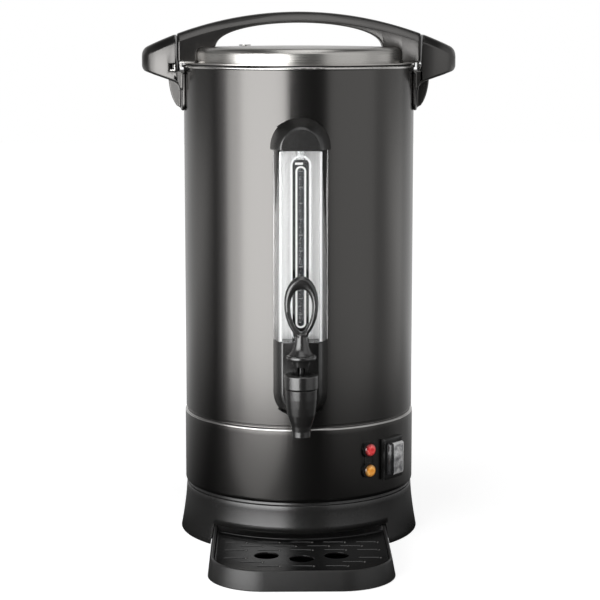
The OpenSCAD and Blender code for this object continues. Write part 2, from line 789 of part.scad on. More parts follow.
module sight_tube() {
    color([0.8, 0.9, 0.95, 0.5]) translate([0, tube_y, cover_z - seat_depth]) difference() {
        cylinder(h = cover_h + 2 * seat_depth, r = tube_r);
        translate([0, 0, -1]) cylinder(h = cover_h + 2 * seat_depth + 2, r = tube_bore_r);
    }
}

module sight_tube_seals() {
    color("#d8d4c8") for (z = [cover_z - seat_depth, cap_z + 1]) translate([0, tube_y, z]) difference() {
        cylinder(h = seat_depth - 1, r = tube_seal_r);
        translate([0, 0, -1]) cylinder(h = seat_depth + 2, r = tube_r + fit);
    }
}

// A plate with a round end, standing on its flat side, in the urn's front
module arch_plate(half, low, high, from, to) {
    translate([0, -from, high]) rotate([90, 0, 0]) cylinder(h = to - from, r = half, $fn = 48);
    translate([-half, -to, low]) cube([2 * half, to - from, max(0.1, high - low)]);
}

module gauge_cap() {
    color("#2c2c2c") difference() {
        hull() {
            arch_plate(cap_half, cap_z, cap_z + 2.5, shell_r - 8, shell_r - 1);
            arch_plate(gauge_face_half + 0.6, cap_z, cap_z + 2, shell_r, gauge_front - 1.2);
            arch_plate(gauge_face_half - 0.1, cap_z, cap_z + 2, shell_r, gauge_front - 0.1);
            arch_plate(gauge_face_half - 1.6, cap_z, cap_z + 2, shell_r, gauge_front + 0.4);
        }
        translate([0, 0, cap_z - 30]) cube([200, 400, 60], center = true);
        cylinder(h = 600, r = shell_r + fit);
        translate([0, tube_y, cap_z - 1]) cylinder(h = seat_depth + 1, r = tube_seal_r + fit);
        for (x = [-cap_screw_x, cap_screw_x]) radial(screw_r + 0.05, shell_r - 5, shell_r + 9, cap_screw_z, x);
    }
}

module gauge_base() {
    low_half = gauge_half - 0.2;
    color("#2c2c2c") difference() {
        intersection() {
            hull() {
                translate([0, 0, 2 * cover_z]) mirror([0, 0, 1])
                    arch_plate(low_half, cover_z, cover_z + 78 - low_half, shell_r - 8, shell_r - 1);
                translate([0, 0, 2 * cover_z]) mirror([0, 0, 1]) {
                    arch_plate(gauge_face_half - 0.6, cover_z, cover_z + 70 - gauge_face_half, shell_r, gauge_front - 1.6);
                    arch_plate(gauge_face_half - 1.3, cover_z, cover_z + 69.8 - gauge_face_half, shell_r, gauge_front - 0.5);
                    arch_plate(gauge_face_half - 2.8, cover_z, cover_z + 69 - gauge_face_half, shell_r, gauge_front);
                }
            }
            translate([0, 0, cover_z - 100]) cube([200, 400, 200], center = true);
        }
        cylinder(h = 600, r = shell_r + fit);
        radial(shank_r + fit, shell_r - 15, gauge_front + 15, shank_z);
        translate([0, tube_y, cover_z - seat_depth - fit]) cylinder(h = seat_depth + 1, r = tube_seal_r + fit);
        translate([0, tube_y, shank_z]) cylinder(h = cover_z - shank_z, r = tube_bore_r);
    }
}

module gauge_screws() {
    color("#b0b0b0") for (x = [-cap_screw_x, cap_screw_x]) {
        radial(3.4, shell_r - shell_wall - 4, shell_r - shell_wall - 1.6, cap_screw_z, x);
        radial(screw_r, shell_r - shell_wall - 2, shell_r + 8.5, cap_screw_z, x);
    }
}

// --- Tap ---

module tap_shank() {
    color("#c0c0c0") difference() {
        radial(shank_r, mouth_r - 12, gauge_front + 13, shank_z);
        radial(shank_bore_r, mouth_r - 20, gauge_front + 20, shank_z);
        // Side port that feeds the sight tube
        translate([0, tube_y, shank_z]) cylinder(h = 20, r = tube_bore_r);
    }
}

module shank_nut() {
    color("#c8c8c8") difference() {
        translate([0, -(mouth_r - 10), shank_z]) rotate([90, 0, 0]) cylinder(h = 6, r = 13, $fn = 6);
        radial(shank_r + fit, mouth_r - 20, mouth_r, shank_z);
    }
}

module shank_washers() {
    color("#e4e0d4") difference() {
        union() {
            intersection() {
                radial(12.5, mouth_r - 4 + fit, mouth_r + 4, shank_z);
                cylinder(h = 400, r = mouth_r - fit);
            }
            intersection() {
                radial(12.5, tank_r - 2, shell_r, shank_z);
                difference() {
                    cylinder(h = 400, r = shell_r - shell_wall - fit);
                    cylinder(h = 400, r = tank_r + fit);
                }
            }
        }
        radial(shank_r + fit, mouth_r - 20, shell_r + 15, shank_z);
    }
}

module tap_body() {
    color("#2e2e2e") difference() {
        union() {
            translate([0, tap_y, 0]) rotate_extrude() polygon(concat(
                [[0, spout_z]], arc(7.9, spout_z + 1, 1, -90, 0, 3),
                [[8.8, spout_z + 6], [9.6, spout_z + 11], [11.4, spout_z + 16], [13.2, spout_z + 22],
                 [14.2, spout_z + 29], [14.9, spout_z + 37], [cup_r, cup_top - 1], [cup_r - 0.8, cup_top],
                 [cavity_r + 1.5, cup_top], [cavity_r + 1.5, cup_top + 6.5], [0, cup_top + 6.5]]));
            difference() {
                radial(collar_r, gauge_front + fit, gauge_front + tap_offset - 5, shank_z);
                translate([0, tap_y, cup_top]) cylinder(h = 40, r = bonnet_r + clear);
            }
        }
        translate([0, tap_y, cavity_z]) cylinder(h = 60, r = cavity_r);
        translate([0, tap_y, spout_z - 1]) cylinder(h = 60, r = seat_hole_r);
        translate([0, tap_y, spout_z - 1]) cylinder(h = 17, r = 6.6);
        radial(shank_r + fit, gauge_front, gauge_front + 13.2, shank_z);
        radial(3.6, gauge_front, gauge_front + tap_offset, shank_z);
    }
}

module tap_bonnet() {
    floor_z = bonnet_top - dish_depth;
    color("#2e2e2e") translate([0, tap_y, 0]) rotate_extrude() polygon(concat(
        [[cavity_r + 1.6, cup_top + fit], [bonnet_r - 0.8, cup_top + fit]],
        arc(bonnet_r - 0.8, cup_top + fit + 0.8, 0.8, -60, 0, 2),
        arc(bonnet_r - 1.5, bonnet_top - 1.5, 1.5, 0, 90, 5),
        [[dish_r, bonnet_top], [dish_r, floor_z], [stem_r + running, floor_z],
         [stem_r + running, floor_z - dish_floor_t], [cavity_r + 1.6, floor_z - dish_floor_t]]));
}

module tap_stem() {
    color("#d0d0d0") translate([0, tap_y, 0]) difference() {
        union() {
            translate([0, 0, cavity_z + 2]) cylinder(h = pin_z + 4 - cavity_z - 2, r = stem_r);
            translate([0, 0, cavity_z + 4.5]) cylinder(h = 2, r = 9);
        }
        translate([-10, 0, pin_z]) rotate([0, 90, 0]) cylinder(h = 20, r = pin_r);
    }
}

module tap_seat() {
    color("#efe9dc") translate([0, tap_y, 0]) difference() {
        union() {
            translate([0, 0, cavity_z + clear]) cylinder(h = 4.5 - clear, r = 8);
            translate([0, 0, cavity_z - 3]) cylinder(h = 3 + clear, r1 = seat_hole_r - 2, r2 = seat_hole_r - 0.5);
        }
        translate([0, 0, cavity_z + 2]) cylinder(h = 10, r = stem_r);
    }
}

module lever_pin() {
    color("#c0c0c0") translate([-6.4, tap_y, pin_z]) rotate([0, 90, 0]) cylinder(h = 12.8, r = pin_r);
}

// Compression spring round the stem, with open turns
module tap_spring() {
    wire = 0.6;
    coil_r = 7;
    sides = 6;
    per_turn = 12;
    low = spring_low + wire;
    rise = spring_high - spring_low - 2 * wire;
    total = spring_turns * per_turn;
    color("#a8a8a8") translate([0, tap_y, 0]) loft([for (i = [0 : total])
        let (a = 360 * i / per_turn, z = low + rise * i / total)
        [for (k = [0 : sides - 1]) let (b = -360 * k / sides, r = coil_r + wire * cos(b))
            [r * cos(a), r * sin(a), z + wire * sin(b)]]]);
}

// Front outline of the lever's loop
function loop_outline(grow, low, high, half) =
    let (mid = (low + high) / 2 + 4, n = 28)
    [for (i = [0 : n - 1]) let (
        a = 360 * i / n,
        up = sin(a) > 0 ? high - mid : mid - low,
        squeeze = sin(a) > 0 ? 1 : 1 - 0.22 * pow(-sin(a), 3))
        [(half + grow) * cos(a) * squeeze, mid + (up + grow) * sin(a)]];

// Closed tube whose middle line runs between two outlines, as thick across as the given depth
module loop_tube(outer, inner, depth) {
    n = len(outer);
    sides = 12;
    points = [for (i = [0 : n - 1], k = [0 : sides - 1])
        let (b = 360 * k / sides, mid = (outer[i] + inner[i]) / 2, reach = (outer[i] - inner[i]) / 2,
            bulge = 1 / pow(pow(abs(cos(b)), 2.6) + pow(abs(sin(b)), 2.6), 1 / 2.6))
        [mid[0] + reach[0] * cos(b) * bulge, depth / 2 * sin(b) * bulge, mid[1] + reach[1] * cos(b) * bulge]];
    faces = [for (i = [0 : n - 1], k = [0 : sides - 1], half = [0, 1])
        let (a = i * sides + k, b = i * sides + (k + 1) % sides,
            c = ((i + 1) % n) * sides + k, d = ((i + 1) % n) * sides + (k + 1) % sides)
        half == 0 ? [b, a, c] : [b, c, d]];
    polyhedron(points = points, faces = faces);
}

module tap_lever() {
    bell_z = pin_z + 6.8;
    neck_z = bell_z + 24;
    top = pin_z + lever_h;
    bell_r = 14.2;
    neck_r = 5.6;
    color("#2f2f2f") translate([0, tap_y, 0]) difference() {
        union() {
            loop_tube(loop_outline(0, neck_z - 4, top, loop_half), loop_outline(0, neck_z + 2.5, top - 12.5, 10.2), 10.4);
            // Bell that sweeps up into the neck
            rotate_extrude() polygon(concat(
                [[0, bell_z]], arc(bell_r - 1.6, bell_z + 1.6, 1.6, -90, 0, 4),
                [for (i = [0 : 10]) let (a = 90 * i / 10)
                    [neck_r + (bell_r - neck_r) * (1 - sin(a)), neck_z + 0.5 - (neck_z - bell_z - 3.5) * cos(a)]],
                [[0, neck_z + 0.5]]));
            translate([0, 0, cone_z]) cylinder(h = bell_z - cone_z, r1 = 4, r2 = 9.6);
        }
        // Slot that lets the stem swing to the front
        translate([-stem_r - 0.4, -20, cone_z - 1]) cube([2 * stem_r + 0.8, 20 + stem_r + 0.4, pin_z - cone_z + 1]);
        translate([-stem_r - 0.4, 0, pin_z]) rotate([0, 90, 0]) cylinder(h = 2 * stem_r + 0.8, r = 5.6);
        translate([-20, 0, pin_z]) rotate([0, 90, 0]) cylinder(h = 40, r = pin_r + running);
    }
}

// --- Lid ---

module lid_gasket() {
    color("#444444") rotate_extrude() polygon([
        [mouth_r - 1.6, rim_z - 5], [mouth_r - clear, rim_z - 5], [mouth_r - clear, gasket_z],
        [shell_r - 2, gasket_z], [shell_r - 2, gasket_z + gasket_t], [mouth_r - 1.6, gasket_z + gasket_t]]);
}

// Upper profile of the lid from its rim to the axis, raised by an offset
function lid_profile(grow) =
    let (r = crown_r + grow, top = crown_z + grow, n = crown_round + grow)
    concat([[flange_r + grow, flange_top + grow], [r, flange_top + grow]],
        arc(r - n, top - n, n, 0, 90, 8),
        [for (i = [3 : -1 : 0]) let (u = i / 4) [(r - n) * u, top + dome * (1 - u * u)]]);

module lid_shell() {
    color("#d9d9d9") difference() {
        rotate_extrude() polygon(concat(
            lid_profile(0), [[0, crown_z + dome - lid_wall]],
            [for (i = [1 : 3]) let (u = i / 4, q = crown_r - crown_round) [q * u, crown_z - lid_wall + dome * (1 - u * u)]],
            arc(crown_r - crown_round, crown_z - crown_round, crown_round - lid_wall, 90, 0, 8),
            [[crown_r - lid_wall, flange_z], [flange_r, flange_z]]));
        lid_screw_places() cylinder(h = flange_top + 200, r = screw_r + 0.2);
        translate(vent_place) cylinder(h = flange_top + 200, r = vent_r + 0.2);
    }
}

vent_place = [-54, 18, 0];
vent_r = 2;

// A cap over a steam hole, held by its riveted stem
module lid_vent() {
    color("#8a8a8a") translate(vent_place) {
        translate([0, 0, crown_z - 3]) cylinder(h = 4.5, r = vent_r);
        translate([0, 0, crown_z + dome + 0.1]) cylinder(h = 0.9, r = 3 * vent_r);
        translate([0, 0, crown_z - 3]) cylinder(h = 1.2, r = 2 * vent_r);
    }
}

// Puts its children at the four screws under the handle's feet
module lid_screw_places() {
    for (x = [11 - crown_r, crown_r - 11], y = [-9, 9]) translate([x, y, 0]) children();
}

module lid_lugs() {
    color("#d4d4d4") for (a = [0, 180], y = [-20, 20]) rotate([0, 0, a]) translate([0, y, 0]) {
        intersection() {
            translate([crown_r, -4, flange_top + fit]) cube([30, 8, 0.9]);
            translate([0, -y, 0]) cylinder(h = 600, r = seam_r - 1.2);
        }
        translate([flange_r + 1.4, -4, rim_z - 3]) cube([1, 8, flange_top - rim_z + 3.5]);
    }
}

// Half width of the lid handle at a distance from the axis
function grip_width(x) =
    let (u = min(1, max(0, (abs(x) - 30) / (seam_r - 30))))
    grip_half + (joint_half - 0.5 - grip_half) * pow(u, 1.8);

function grip_ring(x) =
    let (w = grip_width(x), side = concat([[w, flange_top]], shoulder(w, arch(x), top_round)))
    [for (p = concat(side, mirrored(side))) [x, p[0], p[1]]];

module lid_handle() {
    foot_low = flange_top + fit;
    opening_top = arch(0) - grip_t;
    opening_low = crown_z - 2;
    color("#333333") difference() {
        intersection() {
            loft([for (i = [-24 : 24]) grip_ring((seam_r + 1) * i / 24)]);
            translate([0, 0, foot_low + 1]) cylinder(h = 300, r = seam_r);
        }
        // Opening for the hand
        translate([0, 60, 0]) rotate([90, 0, 0]) linear_extrude(120) polygon([
            for (i = [0 : 40]) let (a = 180 * i / 40, u = cos(a))
                [opening_half * u, opening_low + (opening_top - opening_low) * pow(max(0, 1 - u * u), 0.42)]]);
        rotate_extrude() polygon(concat(lid_profile(fit), [[0, 0], [flange_r + 20, 0], [flange_r + 20, flange_top + 1]]));
        lid_screw_places() cylinder(h = crown_z + 12, r = screw_r + 0.05);
    }
}

module lid_handle_screws() {
    color("#b0b0b0") lid_screw_places() {
        translate([0, 0, crown_z - lid_wall - 2.2]) cylinder(h = 2.1, r = 3.6);
        translate([0, 0, crown_z - 2]) cylinder(h = 13, r = screw_r);
    }
}

// --- Drip tray ---

module drip_tray() {
    color("#2d2d2d") difference() {
        union() {
            difference() {
                hull() {
                    translate([0, 0, tray_h - 0.4]) linear_extrude(0.4) tray_outline(0, tray_rear);
                    translate([0, 0, tray_lift]) linear_extrude(0.4) tray_outline(tray_draft, tray_rear);
                }
                translate([0, 0, grate_z - clear]) linear_extrude(30) tray_outline(-tray_wall, tray_rear + tray_wall);
                translate([0, 0, tray_floor]) linear_extrude(30)
                    tray_outline(-tray_wall - ledge, tray_rear + tray_wall);
            }
            // Rib under the grate's rear edge
            intersection() {
                translate([0, 0, tray_floor - 0.5]) difference() {
                    cylinder(h = grate_z - clear - tray_floor + 0.5, r = rib_r + 2);
                    translate([0, 0, -1]) cylinder(h = 40, r = rib_r);
                }
                linear_extrude(40) tray_outline(-tray_wall, tray_rear + tray_wall);
            }
        }
    }
}

row_pitch = 13.5;
slot_pitch = 31.6;
first_row = rib_r + 12;
drain_holes = [[0, 189], [-33, 178], [33, 178]];

module drip_grate() {
    color("#0f0f0f") difference() {
        union() {
            translate([0, 0, grate_z]) linear_extrude(grate_t) difference() {
                tray_outline(-tray_wall - 0.4, tray_rear);
                circle(r = rib_r + 0.4);
            }
            translate([0, 0, grate_z + grate_t]) linear_extrude(0.8) difference() {
                tray_outline(-tray_wall - 0.4, tray_rear);
                circle(r = rib_r + 0.4);
                difference() {
                    tray_outline(-tray_wall - 1.6, tray_rear);
                    circle(r = rib_r + 1.6);
                }
            }
        }
        for (h = drain_holes) translate([h[0], -h[1], 0]) cylinder(h = 40, r = drain_r);
        // Staggered drain slots, left out where they would cut a hole or the rim
        for (row = [0 : 6], k = [-3 : 3]) {
            x = (k + (row % 2) / 2) * slot_pitch;
            y = first_row + row * row_pitch;
            near = min([for (h = drain_holes) max(abs(x - h[0]) - 10 - drain_r, abs(y - h[1]) - drain_r)]);
            corner = norm([max(0, abs(x) + 10 - (tray_w / 2 - tray_round)), max(0, y - (tray_reach - tray_round))]);
            if (near > 1.5 && corner < tray_round - 5 && y < tray_reach - 10)
                translate([x - 9.5, -y - 0.8, 0]) cube([19, 1.6, 40]);
        }
    }
}

// --- Percolator ---

module pump_tube() {
    foot_top = tank_floor_z - well_depth + 16;
    color("#cfcfcf") difference() {
        union() {
            translate([0, 0, foot_top - 2]) cylinder(h = pump_top - foot_top + 2, r = pump_r);
            rotate_extrude() polygon([
                [0, stem_z], [pump_foot_r, stem_z], [pump_foot_r, stem_z + 3], [pump_foot_r - 8, foot_top - 4],
                [pump_r + 1, foot_top], [0, foot_top]]);
            translate([0, 0, basket_z - basket_wall - clear - 3]) cylinder(h = 3, r = pump_r + 3);
        }
        translate([0, 0, stem_z - 1]) cylinder(h = pump_top, r = pump_r - 0.8);
        rotate_extrude() polygon([
            [0, stem_z - 1], [pump_foot_r - 1, stem_z - 1], [pump_foot_r - 1, stem_z + 2.6],
            [pump_foot_r - 8.6, foot_top - 5], [0, foot_top - 5]]);
        for (a = [0 : 60 : 300]) rotate([0, 0, a]) translate([pump_foot_r - 4, -3, stem_z - 1]) cube([8, 6, 2.5]);
    }
}

strain_r = 1.3;

// Puts its children in rings on the basket's floor and on its cover
module perforations() {
    for (ring = [1 : 3]) ring_of([for (i = [0 : 6 * ring - 1]) i * 60 / ring], ring * (basket_r - 8) / 3) children();
}

// A pressed cup with a central sleeve that slides over the pump's tube
module filter_basket() {
    bend = 4;
    top = basket_z + basket_h;
    hole_r = pump_r + running;
    sleeve_top = basket_z + 12;
    color("#c4c4c4") difference() {
        rotate_extrude() polygon(concat(
            [[hole_r, sleeve_top], [hole_r, basket_z - basket_wall]],
            arc(basket_r - bend, basket_z - basket_wall + bend, bend, -90, 0, 4),
            [[basket_r, top - 1], [basket_r + 2, top - 1], [basket_r + 2, top], [basket_r - basket_wall, top]],
            arc(basket_r - bend, basket_z - basket_wall + bend, bend - basket_wall, 0, -90, 4),
            [[hole_r + basket_wall, basket_z], [hole_r + basket_wall, sleeve_top]]));
        perforations() translate([0, 0, basket_z - 5]) cylinder(h = 10, r = strain_r);
    }
}

module basket_cover() {
    color("#d0d0d0") translate([0, 0, basket_z + basket_h + clear]) difference() {
        cylinder(h = 1, r = basket_r);
        translate([0, 0, -1]) cylinder(h = 4, r = pump_r + running);
        perforations() translate([0, 0, -1]) cylinder(h = 4, r = strain_r);
    }
}

base_ring();
base_plate();
rubber_feet();
base_screws();
control_housing();
outer_shell();
tank();
main_heater();
heater_plate();
well_heater();
thermostat();
thermal_cutout();
terminal_block();
cord_gland();
switch_frame();
switch_rocker();
switch_boot();
switch_terminals();
lamp_bezels();
boil_lamp();
warm_lamp();
side_handle_left();
side_handle_right();
handle_screws();
lock_tabs();
gauge_cap();
gauge_base();
gauge_back();
gauge_cover();
gauge_screws();
level_scale();
sight_tube();
sight_tube_seals();
tap_shank();
shank_nut();
shank_washers();
tap_body();
tap_bonnet();
tap_stem();
tap_seat();
tap_spring();
lever_pin();
tap_lever();
lid_gasket();
lid_shell();
lid_handle();
lid_handle_screws();
lid_lugs();
lid_vent();
drip_tray();
drip_grate();
pump_tube();
filter_basket();
basket_cover();
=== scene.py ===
"""Dresses a ten litre coffee percolator: painted body, lid, handles, gauge, tap and drip tray."""

import bmesh
import bpy
from math import cos, pi, radians, sin, sqrt
from mathutils import Matrix, Vector


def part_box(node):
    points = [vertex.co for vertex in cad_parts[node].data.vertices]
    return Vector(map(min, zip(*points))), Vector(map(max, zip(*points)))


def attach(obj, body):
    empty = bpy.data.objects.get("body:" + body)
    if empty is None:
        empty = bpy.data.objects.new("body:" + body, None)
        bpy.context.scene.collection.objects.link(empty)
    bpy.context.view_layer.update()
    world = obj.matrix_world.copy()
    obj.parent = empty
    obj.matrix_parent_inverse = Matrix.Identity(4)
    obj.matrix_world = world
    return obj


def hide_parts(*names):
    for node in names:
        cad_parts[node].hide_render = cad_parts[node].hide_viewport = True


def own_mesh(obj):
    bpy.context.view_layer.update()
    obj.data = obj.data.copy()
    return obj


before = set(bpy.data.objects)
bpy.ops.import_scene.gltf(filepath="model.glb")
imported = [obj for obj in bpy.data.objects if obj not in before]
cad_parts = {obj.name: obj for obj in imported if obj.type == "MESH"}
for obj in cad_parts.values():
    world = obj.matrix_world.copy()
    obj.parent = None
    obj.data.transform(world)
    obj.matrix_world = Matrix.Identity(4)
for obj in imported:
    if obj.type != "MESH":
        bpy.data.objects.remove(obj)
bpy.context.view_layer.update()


# --- Studio ---
# A pale floor under a white surround, lit by bright soft boxes at the front left, dim ones at the
# right, at the rear and overhead, and two lamps that lie on the floor. The camera stands level
# with the lid and looks slightly down.

scene = bpy.context.scene
scene.view_settings.view_transform = "Standard"

camera = bpy.data.objects.new("camera", bpy.data.cameras.new("camera"))
scene.collection.objects.link(camera)
camera.data.sensor_width = 36
camera.data.lens = 114.8
camera.data.clip_end = 50
camera_turn = radians(-0.8)
camera_tilt = radians(8.40)
camera_distance, camera_height, camera_aim = 1.927, 0.5174, 0.00063
camera.location = (
    camera_distance * sin(camera_turn),
    -camera_distance * cos(camera_turn),
    camera_height,
)
camera.rotation_euler = (pi / 2 - camera_tilt, 0, camera_turn - camera_aim)
scene.camera = camera


def soft_box(name, place, target, width, height, radiance):
    """A rectangular lamp that faces a point; radiance is the brightness of its face."""
    lamp = bpy.data.objects.new(name, bpy.data.lights.new(name, "AREA"))
    scene.collection.objects.link(lamp)
    lamp.data.shape = "RECTANGLE"
    lamp.data.size, lamp.data.size_y = width, height
    lamp.data.energy = radiance * pi * width * height
    lamp.location = place
    lamp.rotation_euler = (Vector(target) - Vector(place)).to_track_quat("-Z", "Y").to_euler()
    lamp.visible_camera = False
    return lamp


soft_box("key_lamp", (-0.462, -0.698, 0.30), (-0.060, -0.125, 0.30), 0.69, 0.60, 4.9)
soft_box("key_edge_lamp", (-0.80, -0.392, 0.30), (-0.07, -0.09, 0.30), 0.24, 0.60, 2.9)
soft_box("left_lamp", (-0.863, -0.197, 0.66), (-0.07, -0.09, 0.66), 0.18, 1.32, 0.35)
soft_box("left_rear_lamp", (-0.93, 0.20, 0.66), (-0.1, 0, 0.66), 0.40, 1.32, 0.12)
soft_box("right_lamp", (0.705, -0.576, 0.66), (0.05, -0.067, 0.66), 0.84, 1.32, 0.62)
soft_box("right_rear_lamp", (0.90, 0.11, 0.66), (0.1, 0, 0.66), 0.72, 1.32, 0.38)
soft_box("front_lamp", (0, -1.0, 1.35), (0, 0, 0.3), 1.0, 0.6, 1.2)
soft_box("left_card", (-0.37, -0.50, 0.002), (-0.37, -0.50, 1), 0.46, 0.56, 0.6)
soft_box("right_card", (0.64, -0.22, 0.002), (0.64, -0.22, 1), 0.75, 0.95, 0.08)
soft_box("top_lamp", (0.1, -0.3, 2.1), (0, 0, 0.4), 1.1, 1.1, 1.2)

world = bpy.data.worlds.new("surround")
scene.world = world
world.use_nodes = True
surround = world.node_tree
rays = surround.nodes.new("ShaderNodeLightPath")
straight = surround.nodes.new("ShaderNodeMath")
straight.operation = "MAXIMUM"
facing = surround.nodes.new("ShaderNodeTexCoord")
surround_axes = surround.nodes.new("ShaderNodeSeparateXYZ")
behind = surround.nodes.new("ShaderNodeMapRange")
for socket, value in {"From Min": 0.45, "From Max": 1.0, "To Min": 0.06, "To Max": 0.75}.items():
    behind.inputs[socket].default_value = value
seen = surround.nodes.new("ShaderNodeMix")
seen.data_type = "RGBA"
seen.inputs[7].default_value = (1, 1, 1, 1)
for out, into in (
    (rays.outputs["Is Camera Ray"], straight.inputs[0]),
    (rays.outputs["Is Transmission Ray"], straight.inputs[1]),
    (facing.outputs["Generated"], surround_axes.inputs[0]),
    (surround_axes.outputs["Y"], behind.inputs["Value"]),
    (behind.outputs[0], seen.inputs[6]),
    (straight.outputs[0], seen.inputs[0]),
    (seen.outputs[2], surround.nodes["Background"].inputs["Color"]),
):
    surround.links.new(out, into)

floor_half = 6
bm = bmesh.new()
bmesh.ops.create_grid(bm, x_segments=1, y_segments=1, size=floor_half)
floor_mesh = bpy.data.meshes.new("floor")
bm.to_mesh(floor_mesh)
bm.free()
floor = bpy.data.objects.new("floor", floor_mesh)
scene.collection.objects.link(floor)
floor_paint = bpy.data.materials.new("pale floor")
floor_paint.use_nodes = True
tree = floor_paint.node_tree
tree.nodes.remove(tree.nodes["Principled BSDF"])
shade = {}
for use, albedo in (("seen", 0.45), ("unseen", 0.03)):
    shade[use] = tree.nodes.new("ShaderNodeBsdfDiffuse")
    shade[use].inputs["Color"].default_value = (albedo, albedo, albedo, 1)
where = tree.nodes.new("ShaderNodeTexCoord")
reach = tree.nodes.new("ShaderNodeVectorMath")
reach.operation = "LENGTH"
fade = tree.nodes.new("ShaderNodeMapRange")
for socket, value in {"From Min": 0.2, "From Max": 0.9, "To Min": 0.80, "To Max": 1.0}.items():
    fade.inputs[socket].default_value = value
glow = tree.nodes.new("ShaderNodeEmission")
both = tree.nodes.new("ShaderNodeAddShader")
floor_axes = tree.nodes.new("ShaderNodeSeparateXYZ")
backdrop = tree.nodes.new("ShaderNodeMapRange")
for socket, value in {"From Min": 0.0, "From Max": 1.0, "To Min": 0.0, "To Max": 0.75}.items():
    backdrop.inputs[socket].default_value = value
back_glow = tree.nodes.new("ShaderNodeEmission")
mirrored = tree.nodes.new("ShaderNodeAddShader")
floor_rays = tree.nodes.new("ShaderNodeLightPath")
direct = tree.nodes.new("ShaderNodeMath")
direct.operation = "MAXIMUM"
choice = tree.nodes.new("ShaderNodeMixShader")
for out, into in (
    (where.outputs["Object"], reach.inputs[0]),
    (reach.outputs["Value"], fade.inputs["Value"]),
    (fade.outputs[0], glow.inputs["Strength"]),
    (shade["seen"].outputs[0], both.inputs[0]),
    (glow.outputs[0], both.inputs[1]),
    (where.outputs["Object"], floor_axes.inputs[0]),
    (floor_axes.outputs["Y"], backdrop.inputs["Value"]),
    (backdrop.outputs[0], back_glow.inputs["Strength"]),
    (shade["unseen"].outputs[0], mirrored.inputs[0]),
    (back_glow.outputs[0], mirrored.inputs[1]),
    (floor_rays.outputs["Is Camera Ray"], direct.inputs[0]),
    (floor_rays.outputs["Is Transmission Ray"], direct.inputs[1]),
    (direct.outputs[0], choice.inputs[0]),
    (mirrored.outputs[0], choice.inputs[1]),
    (both.outputs[0], choice.inputs[2]),
    (choice.outputs[0], tree.nodes["Material Output"].inputs["Surface"]),
):
    tree.links.new(out, into)
floor_mesh.materials.append(floor_paint)


# --- Base ring ---
# A flared ring moulded in charcoal plastic with a fine grain. It carries the whole urn, is cut
# out at the front for the tray and is screwed up into the steel housing.


class Wire:
    """One output of a shader node. Sums on it add Math nodes."""

    def __init__(self, finish, socket):
        self.finish, self.socket = finish, socket

    def math(self, operation, first, second=0.0):
        return self.finish.node("ShaderNodeMath", {"operation": operation}, {0: first, 1: second})

    def __add__(self, other):
        return self.math("ADD", self, other)

    def __sub__(self, other):
        return self.math("SUBTRACT", self, other)

    def __rsub__(self, other):
        return self.math("SUBTRACT", other, self)

    def __mul__(self, other):
        return self.math("MULTIPLY", self, other)

    def __gt__(self, other):
        return self.math("GREATER_THAN", self, other)

    def __lt__(self, other):
        return self.math("LESS_THAN", self, other)

    __radd__ = __add__
    __rmul__ = __mul__


class Finish:
    """A material for one finish of the urn: the shader, and the nodes that feed it."""

    def __init__(self, name, **sockets):
        self.material = bpy.data.materials.new(name)
        self.material.use_nodes = True
        self.tree = self.material.node_tree
        self.place = self.node("ShaderNodeTexCoord", take="Object")
        self.set(**sockets)

    def node(self, kind, settings=None, inputs=None, take=0):
        made = self.tree.nodes.new(kind)
        for key, value in (settings or {}).items():
            if key == "stops":
                ends = made.color_ramp.elements
                while len(ends) < len(value):
                    ends.new(0.5)
                for end, (position, colour) in zip(ends, value):
                    end.position, end.color = position, colour
            else:
                setattr(made, key, value)
        for key, value in (inputs or {}).items():
            self.feed(made.inputs[key], value)
        return Wire(self, made.outputs[take])

    def feed(self, socket, value):
        if isinstance(value, Wire):
            self.tree.links.new(value.socket, socket)
        else:
            socket.default_value = value

    def set(self, **sockets):
        shader = self.tree.nodes["Principled BSDF"]
        for key, value in sockets.items():
            self.feed(shader.inputs[key.replace("_", " ")], value)

    def noise(self, scale, detail=2.0, stretch=(1, 1, 1)):
        where = self.node("ShaderNodeMapping", None, {"Vector": self.place, "Scale": stretch})
        inputs = {"Vector": where, "Scale": scale, "Detail": detail}
        return self.node("ShaderNodeTexNoise", None, inputs)

    def along(self, axis):
        return self.node("ShaderNodeSeparateXYZ", None, {0: self.place}, axis)

    def tint(self, mask, low, high):
        ends = [end if isinstance(end, Wire) else (*end, 1) for end in (low, high)]
        inputs = {0: mask, 6: ends[0], 7: ends[1]}
        return self.node("ShaderNodeMix", {"data_type": "RGBA"}, inputs, 2)

    def bump(self, height, depth, strength=1.0):
        inputs = {"Height": height, "Distance": depth, "Strength": strength}
        self.set(Normal=self.node("ShaderNodeBump", None, inputs))


def moulding(name, dark, pale, roughness):
    """Moulded plastic with a spark-eroded grain and the faint clouding of a cooled surface."""
    made = Finish(name, Specular_IOR_Level=1.0)
    cloud = made.noise(14, 3)
    grain = made.noise(2600, 2)
    made.set(Base_Color=made.tint(cloud, dark, pale))
    made.set(Roughness=roughness + 0.12 * cloud - 0.05 * grain)
    made.bump(grain, 0.00005, 0.5)
    return made


def dress(finish, *nodes):
    """Gives CAD nodes a finish."""
    for node in nodes:
        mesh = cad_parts[node].data
        mesh.materials.clear()
        mesh.materials.append(finish.material)


def keep(bm, name, finish, body, *nodes, slot=None, sharp=35):
    """Turns a bmesh into a finished piece that rides on a body and stands for CAD nodes."""
    mesh = bpy.data.meshes.new(name)
    bm.to_mesh(mesh)
    bm.free()
    for face in mesh.polygons:
        face.use_smooth = True
    mesh.set_sharp_from_angle(angle=radians(sharp))
    mesh.materials.append(finish.material)
    piece = bpy.data.objects.new(name, mesh)
    scene.collection.objects.link(piece)
    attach(piece, body)
    if nodes:
        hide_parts(*nodes)
    return piece


weld = 1e-6


